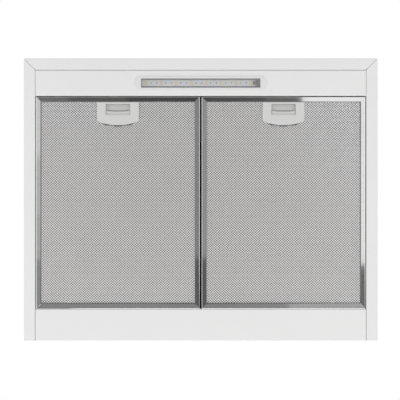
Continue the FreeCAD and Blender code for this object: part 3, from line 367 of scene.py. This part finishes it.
def expandedFoil():
    metal = Finish("expandedFoil")
    patches = metal.noise(foil["patchScale"], 4.0)
    grain = metal.noise(foil["grainScale"])
    return metal.shade({
        "Base Color": metal.blendColors((patches + grain) * 0.5, foil["dark"], foil["light"]),
        "Metallic": 1.0,
        "Roughness": grain * foil["grainRough"] + foil["rough"],
        "Normal": metal.bump(grain, foil["grainDepth"], foil["grainStrength"]),
    })


diamond = {"across": 4.5 * millimetre, "along": 4.12 * millimetre, "strand": 1.0 * millimetre}
innerFoil = {
    # both tones are painted shade: the same foil as the face sheets, darkened for the shade deep in the filter
    # pack
    "bright": (0.36, 0.36, 0.37),
    "dull": (0.24, 0.24, 0.25),
    "patchScale": 30.0,
    "rough": 0.38,
    "patchRough": 0.1,
    "open": 0.32,  # size of the hole in a unit diamond
    "slipX": 0.83,  # how far a sheet is out of step, for its height
    "slipY": 0.37,
    "strandDepth": 0.0008,
    "strandStrength": 0.6,
}


def piercedFoil():
    # the inner sheets: the same diamonds, cut out of flat foil, each sheet out of step with the next; their colour
    # is the foil's, darkened to paint the shade inside the filter pack
    metal = Finish("piercedFoil")
    x, y, z = metal.split(metal.place())
    across = (x + z * innerFoil["slipX"]) / diamond["across"]
    along = (y + z * innerFoil["slipY"]) / diamond["along"]
    strand = folded(across + along).calc("MAXIMUM", folded(across - along))
    patches = metal.noise(innerFoil["patchScale"], 3.0)
    return metal.shade({
        "Base Color": metal.blendColors(patches, innerFoil["dull"], innerFoil["bright"]),
        "Metallic": 1.0,
        "Roughness": patches * innerFoil["patchRough"] + innerFoil["rough"],
        "Alpha": strand.calc("GREATER_THAN", innerFoil["open"]),
        "Normal": metal.bump(strand, innerFoil["strandDepth"], innerFoil["strandStrength"]),
    })


def folded(value):
    # distance from the middle of a unit stripe: 0 in the middle, 0.5 at its edges
    return (value.calc("FRACT", 0) - 0.5).calc("ABSOLUTE", 0)


moulding = {"mottleScale": 9.0, "grainRough": 0.12, "grainStrength": 0.5, "gloss": 0.5, "rubberGloss": 0.25}
plastics = {  # name, colour, spread of the colour, roughness, scale and depth of the grain
    "white_plastic": ("glossWhite", (0.77, 0.77, 0.765), 0.015, 0.22, 1500.0, 0.00002),
    # greyMoulding: partly the moulding's own dark grey, darkened further to paint the shade on the lamp housing's
    # walls around its window
    "grey_plastic": ("greyMoulding", (0.15, 0.15, 0.155), 0.08, 0.5, 1800.0, 0.00006),
    "chip_black": ("chipBlack", (0.03, 0.03, 0.03), 0.2, 0.4, 3000.0, 0.00002),
    "black_plastic": ("scrollBlack", (0.028, 0.028, 0.03), 0.2, 0.5, 1300.0, 0.0001),
    "dark_plastic": ("darkMoulding", (0.055, 0.056, 0.06), 0.15, 0.45, 1500.0, 0.00008),
    "rubber_black": ("softRubber", (0.02, 0.02, 0.02), 0.2, 0.75, 1800.0, 0.0001, moulding["rubberGloss"]),
    "button_grey": ("buttonGrey", (0.42, 0.43, 0.44), 0.03, 0.35, 1800.0, 0.00004),
}


def plastic(name, color, spread, rough, grain, depth, gloss=moulding["gloss"]):
    moulded = Finish(name)
    mottle = moulded.noise(moulding["mottleScale"], 3.0)
    texture = moulded.noise(grain)
    lighter = tuple(min(1, c * (1 + spread)) for c in color)
    darker = tuple(c * (1 - spread) for c in color)
    return moulded.shade({
        "Base Color": moulded.blendColors(mottle, darker, lighter),
        "Roughness": texture * moulding["grainRough"] + (rough - moulding["grainRough"] / 2),
        "Specular IOR Level": gloss,
        "Normal": moulded.bump(texture, depth, moulding["grainStrength"]),
    })


handle = {
    "clean": (0.66, 0.66, 0.65),
    # colour of the painted shade inside the finger pocket
    "shaded": (0.48, 0.48, 0.475),
    "rough": 0.36,
    "grainScale": 2200.0,
    "grainDepth": 0.00005,
    "pocketFront": 11 * millimetre,  # from the front of the filter
    "pocketRear": 26 * millimetre,
    # share of the painted shade that is left at the rear of the pocket
    "rearShade": 0.25,
    "mouth": 0.2 * millimetre,  # heights above the underside
    "roof": 2.6 * millimetre,
    # least share of the painted shade, and how much it is mottled
    "shadeLeast": 0.85,
    "shadeMottle": 0.3,
}


def handleGrey():
    # matt grey moulding, with painted shade inside the finger pocket, darkest at its front and up towards its roof
    moulded = Finish("handleGrey")
    parts = moulded.split(moulded.place())
    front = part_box("filter_frame_left")[0].y
    reach = moulded.node("MapRange", {}, {
        "Value": parts[1],
        "From Min": front + handle["pocketFront"],
        "From Max": front + handle["pocketRear"],
        "To Min": 1.0,
        "To Max": handle["rearShade"],
    })
    height = moulded.node("MapRange", {}, {
        "Value": parts[2],
        "From Min": underside + handle["mouth"],
        "From Max": underside + handle["roof"],
    })
    mottle = moulded.noise(moulding["mottleScale"], 3.0)
    grain = moulded.noise(handle["grainScale"])
    # painted shade in the finger pocket, mottled, darkest at its front and towards its roof
    pocketShade = reach * height * (mottle * handle["shadeMottle"] + handle["shadeLeast"])
    return moulded.shade({
        "Base Color": moulded.blendColors(pocketShade, handle["clean"], handle["shaded"]),
        "Roughness": grain * moulding["grainRough"] + handle["rough"],
        "Specular IOR Level": moulding["gloss"],
        "Normal": moulded.bump(grain, handle["grainDepth"], moulding["grainStrength"]),
    })


steelWork = {
    "stainScale": 25.0,
    "stained": 0.75,  # what is left of the colour in a stain
    "scratchRough": 0.2,
    "scratchDepth": 0.00003,
    "scratchStrength": 0.4,
}
steels = {  # name, colour, roughness, scale of the scratches, and their stretch
    "spring_steel": ("springWire", (0.62, 0.61, 0.6), 0.2, 900.0),
    "motor_steel": ("motorCan", (0.55, 0.55, 0.54), 0.28, 500.0, (1, 1, 0.05)),
    "shaft_steel": ("groundSteel", (0.66, 0.66, 0.65), 0.16, 1200.0),
    "screw_zinc": ("zincScrew", (0.72, 0.72, 0.69), 0.22, 1400.0),
}


def steel(name, color, rough, grain, stretch=(1, 1, 1)):
    metal = Finish(name)
    scratches = metal.noise(grain, 3.0, stretch)
    stains = metal.noise(steelWork["stainScale"], 4.0)
    darker = tuple(c * steelWork["stained"] for c in color)
    return metal.shade({
        "Base Color": metal.blendColors(stains, color, darker),
        "Metallic": 1.0,
        "Roughness": scratches * steelWork["scratchRough"] + rough,
        "Normal": metal.bump(scratches, steelWork["scratchDepth"], steelWork["scratchStrength"]),
    })


zinc = {
    "spangleScale": 110.0,
    "dark": (0.52, 0.53, 0.55),
    "light": (0.74, 0.75, 0.76),
    "rough": 0.3,
    "spangleRough": 0.2,
}


def galvanisedSheet():
    metal = Finish("galvanisedSheet")
    pattern = {"Vector": metal.place(), "Scale": zinc["spangleScale"]}
    cells = metal.node("TexVoronoi", {"feature": "F1"}, pattern, "Color")
    shades = metal.node("SeparateColor", {}, {"Color": cells})
    return metal.shade({
        "Base Color": metal.blendColors(shades, zinc["dark"], zinc["light"]),
        "Metallic": 1.0,
        "Roughness": shades * zinc["spangleRough"] + zinc["rough"],
    })


lens = {
    "color": (0.93, 0.93, 0.94),
    "cover": 0.12,
    "glass": 1.49,
    "rough": 0.12,
    "ribScale": 160.0,
    "ribRough": 0.1,
    "ribDepth": 0.0001,
    "ribStrength": 0.35,
}


def lampLens():
    clear = Finish("lampLens")
    pattern = {"Vector": clear.place(), "Scale": lens["ribScale"]}
    ribs = clear.node("TexWave", {"wave_type": "BANDS", "bands_direction": "X"}, pattern)
    return clear.shade({
        "Base Color": lens["color"],
        "Roughness": ribs * lens["ribRough"] + lens["rough"],
        "IOR": lens["glass"],
        "Alpha": lens["cover"],
        "Normal": clear.bump(ribs, lens["ribDepth"], lens["ribStrength"]),
    })


diode = {
    "dark": (0.88, 0.70, 0.40),
    "light": (0.96, 0.84, 0.60),
    "grainScale": 1400.0,
    "rough": 0.22,
    "grainRough": 0.1,
    "coat": 0.6,
    "grainDepth": 0.00003,
    "grainStrength": 0.3,
}


def diodeFace():
    resin = Finish("diodeFace")
    grain = resin.noise(diode["grainScale"])
    return resin.shade({
        "Base Color": resin.blendColors(grain, diode["dark"], diode["light"]),
        "Roughness": grain * diode["grainRough"] + diode["rough"],
        "Coat Weight": diode["coat"],
        "Normal": resin.bump(grain, diode["grainDepth"], diode["grainStrength"]),
    })


board = {
    "tracks": {
        "Scale": 60.0,
        "Color1": (0.80, 0.81, 0.83),
        "Color2": (0.85, 0.86, 0.88),
        "Mortar": (0.62, 0.63, 0.64),
        "Mortar Size": 0.006,
    },
    "fibreScale": 1200.0,
    "rough": 0.3,
    "fibreRough": 0.1,
    "fibreDepth": 0.00002,
    "fibreStrength": 0.3,
}


def stripBoard():
    mask = Finish("stripBoard")
    tracks = mask.node("TexBrick", {"offset": 0.5}, {"Vector": mask.place(), **board["tracks"]})
    fibre = mask.noise(board["fibreScale"])
    return mask.shade({
        "Base Color": tracks,
        "Roughness": fibre * board["fibreRough"] + board["rough"],
        "Normal": mask.bump(fibre, board["fibreDepth"], board["fibreStrength"]),
    })


sheathing = {
    "dark": (0.17, 0.17, 0.175),
    "light": (0.26, 0.26, 0.265),
    "wearScale": 60.0,
    "rough": 0.45,
    "wearRough": 0.15,
    "wearDepth": 0.0001,
    "wearStrength": 0.4,
}


def cableSheath():
    sheath = Finish("cableSheath")
    wear = sheath.noise(sheathing["wearScale"], 4.0)
    return sheath.shade({
        "Base Color": sheath.blendColors(wear, sheathing["dark"], sheathing["light"]),
        "Roughness": wear * sheathing["wearRough"] + sheathing["rough"],
        "Normal": sheath.bump(wear, sheathing["wearDepth"], sheathing["wearStrength"]),
    })


def makeFinishes():
    made = {slot: plastic(*values) for slot, values in plastics.items()}
    made.update({slot: steel(*values) for slot, values in steels.items()})
    made.update({
        "white_enamel": whiteEnamel(),
        "galvanised": galvanisedSheet(),
        "lens": lampLens(),
        "board_white": stripBoard(),
        "led_yellow": diodeFace(),
        "filter_aluminium": rolledAluminium(),
        "mesh_aluminium": piercedFoil(),
        "expanded": expandedFoil(),
        "handle_plastic": handleGrey(),
        "lead_grey": cableSheath(),
    })
    print("finishes made:", len(made))
    return made


def dressNodes(finishes):
    for row in frame["record"]["subparts"]:
        node = frame["nodes"][row["node"]]
        for holder in node.material_slots:
            holder.material = finishes[row["material_slot"]]


# ---------- mesh helpers
def makePiece(name, bm, smooth=False):
    mesh = bpy.data.meshes.new(name)
    for face in bm.faces:
        face.smooth = smooth
    bm.to_mesh(mesh)
    bm.free()
    piece = bpy.data.objects.new(name, mesh)
    bpy.context.scene.collection.objects.link(piece)
    return piece


def settle(piece, body, slot, node, finish=None):
    # a finished piece: its material, its body, its slot and the node that it stands for
    piece.data.materials.append(finishes[finish or slot])
    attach(piece, body)
    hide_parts(node)


# ---------- expanded foil of the filters
foilSheet = {"tilt": 0.10, "thick": 0.12 * millimetre, "weld": 1e-6}
catchHole = {  # the hole in the lower sheet, where the catch's body stands
    "half": 26.6 * millimetre,
    "end": 48.6 * millimetre,  # from the front of the sheet to the crown of the bowed rear edge
    "bow": 2.8 * millimetre,
}


def diamondLattice(low, high):
    # squares turned by 45 degrees and stretched to the diamonds, then trimmed to the sheet
    centre = (low + high) / 2
    width, length = high.x - low.x, high.y - low.y
    count = math.ceil(width / diamond["across"] + length / diamond["along"]) + 2
    bm = bmesh.new()
    bmesh.ops.create_grid(bm, x_segments=count, y_segments=count, size=count / 2)
    turn = Matrix.Rotation(math.radians(45), 3, "Z")
    bmesh.ops.rotate(bm, cent=(0, 0, 0), matrix=turn, verts=bm.verts)
    half = math.sqrt(0.5)
    bmesh.ops.scale(bm, vec=(diamond["across"] * half, diamond["along"] * half, 1), verts=bm.verts)
    bmesh.ops.translate(bm, vec=centre, verts=bm.verts)
    for place, normal in ((low, (-1, 0, 0)), (low, (0, -1, 0)), (high, (1, 0, 0)), (high, (0, 1, 0))):
        everything = bm.verts[:] + bm.edges[:] + bm.faces[:]
        bmesh.ops.bisect_plane(
            bm, geom=everything, dist=foilSheet["weld"], plane_co=place, plane_no=normal, clear_outer=True)
    return bm


def expandedSheet(name, low, high, turned, rear, hole=None):
    # half of a sheet: each diamond is opened, and the strands round it lean the same way, as in pulled foil
    bm = diamondLattice(low, high)
    middle = (low.y + high.y) / 2
    other = [f for f in bm.faces if (f.calc_center_median().y > middle) != rear]
    bmesh.ops.delete(bm, geom=other, context="FACES")
    if hole:
        hidden = [f for f in bm.faces if inHole(f.calc_center_median(), *hole)]
        bmesh.ops.delete(bm, geom=hidden, context="FACES")
    cells = bm.faces[:]
    bmesh.ops.inset_individual(bm, faces=cells, thickness=diamond["strand"] / 2, use_even_offset=True)
    lean = foilSheet["tilt"] * turned
    for cell in cells:
        heart = cell.calc_center_median()
        for corner in cell.verts:
            corner.co.z += lean * (heart.y - corner.co.y)
    bmesh.ops.delete(bm, geom=cells, context="FACES")
    piece = makePiece(name, bm)
    wall = piece.modifiers.new("thickness", "SOLIDIFY")
    wall.thickness = foilSheet["thick"]
    wall.offset = 0
    return piece


def inHole(point, middle, front):
    across = abs(point.x - middle) / catchHole["half"]
    reach = catchHole["end"] - catchHole["bow"] * across ** 2
    return across < 1 and point.y - front < reach


def catchMiddle(side):
    low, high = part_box("latch_base_" + side)
    return (low.x + high.x) / 2


def addFilterFoils():
    for side in sides:
        for layer, word, turned in (("mesh_face", "Face", 1), ("mesh_back", "Back", -1)):
            node = f"{layer}_{side}"
            low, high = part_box(node)
            low.z = high.z = (low.z + high.z) / 2
            hole = (catchMiddle(side), low.y) if layer == "mesh_face" else None
            for half, rear in (("Front", False), ("Rear", True)):
                name = f"foil{word}{side.title()}{half}"
                piece = expandedSheet(name, low, high, turned, rear, hole)
                settle(piece, "filter_" + side, "mesh_aluminium", node, "expanded")
    print("foils made")


# ---------- catch springs
coil = {"turns": 8, "steps": 20, "wire": 0.3 * millimetre, "sides": 8, "weld": 1e-6}


def addSprings():
    for side in sides:
        node = "latch_spring_" + side
        low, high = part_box(node)
        centre = (low + high) / 2
        radius = (high.z - low.z) / 2 - coil["wire"]
        travel = high.y - low.y - 2 * coil["wire"]
        bm = bmesh.new()
        start = Vector((centre.x + radius, low.y + coil["wire"], centre.z))
        turn = Matrix.Translation(start)
        bmesh.ops.create_circle(
            bm, cap_ends=True, segments=coil["sides"], radius=coil["wire"], matrix=turn)
        steps = coil["turns"] * coil["steps"]
        bmesh.ops.spin(
            bm, geom=bm.verts[:] + bm.edges[:] + bm.faces[:], cent=centre, axis=(0, 1, 0),
            dvec=(0, travel / steps, 0), angle=math.tau * coil["turns"], steps=steps, use_merge=False)
        bmesh.ops.remove_doubles(bm, verts=bm.verts, dist=coil["weld"])
        bmesh.ops.recalc_face_normals(bm, faces=bm.faces)
        piece = makePiece("catchSpring" + side.title(), bm, True)
        settle(piece, "filter_" + side, "spring_steel", node)
        slide = next(j for j in frame["joints"] if j["name"] == f"latch_{side}_slide")
        keep = 1 - slide["range_m"][1] / (high.y - low.y)
        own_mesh(piece)
    print("springs made")


# ---------- the scene
addCamera()
finishes = makeFinishes()
dressNodes(finishes)
addSky()
addFloor()
addCards()
addSoftboxes()
addFilterFoils()
addSprings()
print("scene made")
